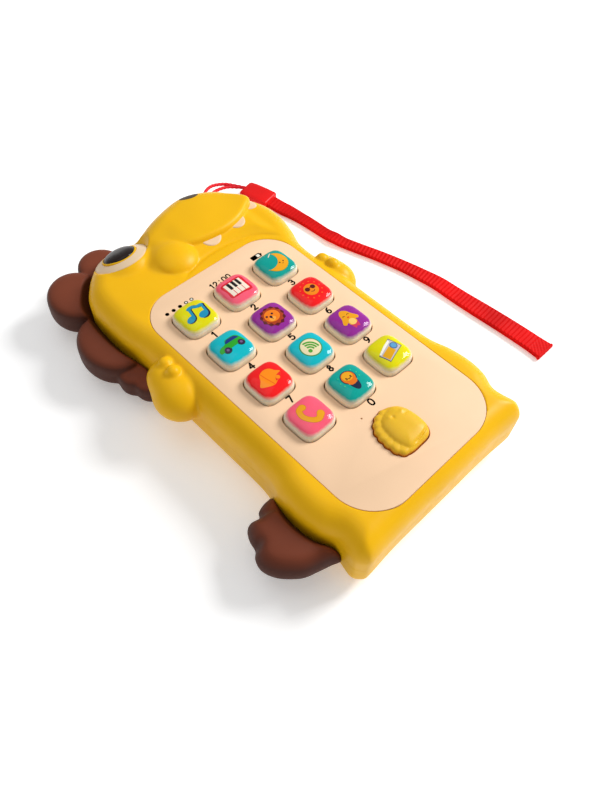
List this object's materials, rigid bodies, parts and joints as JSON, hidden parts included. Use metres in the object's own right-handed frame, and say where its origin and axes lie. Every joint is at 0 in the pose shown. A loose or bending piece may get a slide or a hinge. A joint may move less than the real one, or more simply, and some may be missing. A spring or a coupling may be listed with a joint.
{
  "type": "toy cell phone",
  "caption": "Toy cell phone shaped like a cartoon dinosaur, with domed picture keys, a home key, a soft mane and tail, a back battery door and a wrist strap.",
  "frame": {"origin": "on the flat back that it rests on, under the centre of the twelve picture keys", "axes": "+X to the right of the key face, +Y towards the dinosaur's head, +Z out of the key face"},
  "size_m": [0.1578, 0.1807, 0.0322],
  "materials": {
    "shell_yellow": "satin moulded ABS",
    "panel_cream": "fine matt",
    "key_cream": "satin translucent",
    "dome_yellow": "wet gloss",
    "dome_pink": "wet gloss",
    "dome_teal": "wet gloss",
    "dome_cyan": "wet gloss",
    "dome_purple": "wet gloss",
    "dome_red": "wet gloss",
    "home_yellow": "satin",
    "eye_cream": "satin",
    "eye_black": "high gloss",
    "tooth_cream": "satin",
    "soft_brown": "satin soft silicone",
    "silicone_grey": "matt silicone",
    "board_green": "solder mask",
    "chip_black": "potting resin",
    "led_red": "clear tinted",
    "steel": "plated",
    "cone_paper": "pressed paper",
    "cell_wrap": "printed sleeve",
    "switch_black": "matt",
    "wire_red": "sleeve",
    "wire_black": "sleeve",
    "strap_cord_red": "braided cord",
    "buckle_red": "satin",
    "strap_red": "ribbed woven"
  },
  "bodies": {
    "root": {"front_shell": "shell_yellow", "rear_shell": "shell_yellow", "face_panel": "panel_cream", "eye_ring": "eye_cream", "eye_pupil": "eye_black", "teeth": "tooth_cream", "mane": "soft_brown", "tail": "soft_brown", "keypad_membrane": "silicone_grey", "circuit_board": "board_green", "sound_chip": "chip_black", "key_leds": "led_red", "speaker_basket": "steel", "speaker_cone": "cone_paper", "speaker_magnet": "steel", "battery_cells": "cell_wrap", "battery_springs": "steel", "battery_plates": "steel", "switch_body": "switch_black", "case_screws": "steel", "board_screws": "steel", "speaker_wires": "wire_red", "battery_wires": "wire_black"},
    "press_key_music": {"key_music": "key_cream", "dome_music": "dome_yellow"},
    "press_key_piano": {"key_piano": "key_cream", "dome_piano": "dome_pink"},
    "press_key_moon": {"key_moon": "key_cream", "dome_moon": "dome_teal"},
    "press_key_1": {"key_1": "key_cream", "dome_1": "dome_cyan"},
    "press_key_2": {"key_2": "key_cream", "dome_2": "dome_purple"},
    "press_key_3": {"key_3": "key_cream", "dome_3": "dome_red"},
    "press_key_4": {"key_4": "key_cream", "dome_4": "dome_red"},
    "press_key_5": {"key_5": "key_cream", "dome_5": "dome_cyan"},
    "press_key_6": {"key_6": "key_cream", "dome_6": "dome_purple"},
    "press_key_7": {"key_7": "key_cream", "dome_7": "dome_pink"},
    "press_key_8": {"key_8": "key_cream", "dome_8": "dome_teal"},
    "press_key_9": {"key_9": "key_cream", "dome_9": "dome_yellow"},
    "press_home_key": {"home_key": "home_yellow"},
    "power_switch": {"switch_knob": "switch_black"},
    "battery_hatch": {"battery_door": "shell_yellow", "door_screw": "steel"},
    "wrist_strap": {"strap_cord": "strap_cord_red", "strap_buckle": "buckle_red", "strap_webbing": "strap_red"}
  },
  "joints": [
    {"name": "key_music_press", "type": "slide", "parent": "root", "child": "press_key_music", "axis": [0, 0, -1], "range_m": [0, 0.0012], "stiffness_N_per_m": 300},
    {"name": "key_piano_press", "type": "slide", "parent": "root", "child": "press_key_piano", "axis": [0, 0, -1], "range_m": [0, 0.0012], "stiffness_N_per_m": 300},
    {"name": "key_moon_press", "type": "slide", "parent": "root", "child": "press_key_moon", "axis": [0, 0, -1], "range_m": [0, 0.0012], "stiffness_N_per_m": 300},
    {"name": "key_1_press", "type": "slide", "parent": "root", "child": "press_key_1", "axis": [0, 0, -1], "range_m": [0, 0.0012], "stiffness_N_per_m": 300},
    {"name": "key_2_press", "type": "slide", "parent": "root", "child": "press_key_2", "axis": [0, 0, -1], "range_m": [0, 0.0012], "stiffness_N_per_m": 300},
    {"name": "key_3_press", "type": "slide", "parent": "root", "child": "press_key_3", "axis": [0, 0, -1], "range_m": [0, 0.0012], "stiffness_N_per_m": 300},
    {"name": "key_4_press", "type": "slide", "parent": "root", "child": "press_key_4", "axis": [0, 0, -1], "range_m": [0, 0.0012], "stiffness_N_per_m": 300},
    {"name": "key_5_press", "type": "slide", "parent": "root", "child": "press_key_5", "axis": [0, 0, -1], "range_m": [0, 0.0012], "stiffness_N_per_m": 300},
    {"name": "key_6_press", "type": "slide", "parent": "root", "child": "press_key_6", "axis": [0, 0, -1], "range_m": [0, 0.0012], "stiffness_N_per_m": 300},
    {"name": "key_7_press", "type": "slide", "parent": "root", "child": "press_key_7", "axis": [0, 0, -1], "range_m": [0, 0.0012], "stiffness_N_per_m": 300},
    {"name": "key_8_press", "type": "slide", "parent": "root", "child": "press_key_8", "axis": [0, 0, -1], "range_m": [0, 0.0012], "stiffness_N_per_m": 300},
    {"name": "key_9_press", "type": "slide", "parent": "root", "child": "press_key_9", "axis": [0, 0, -1], "range_m": [0, 0.0012], "stiffness_N_per_m": 300},
    {"name": "key_home_press", "type": "slide", "parent": "root", "child": "press_home_key", "axis": [0, 0, -1], "range_m": [0, 0.0012], "stiffness_N_per_m": 300},
    {"name": "power_switch_slide", "type": "slide", "parent": "root", "child": "power_switch", "axis": [1, 0, 0], "range_m": [-0.002, 0.002]},
    {"name": "battery_door_lift", "type": "slide", "parent": "root", "child": "battery_hatch", "axis": [0, 0, -1], "range_m": [0, 0.02], "stiffness_N_per_m": 60},
    {"name": "strap_swing", "type": "hinge", "parent": "root", "child": "wrist_strap", "pos_m": [0.0305, 0.0815, 0.012], "axis": [0, 0, 1], "range_deg": [-6, 45]}
  ]
}
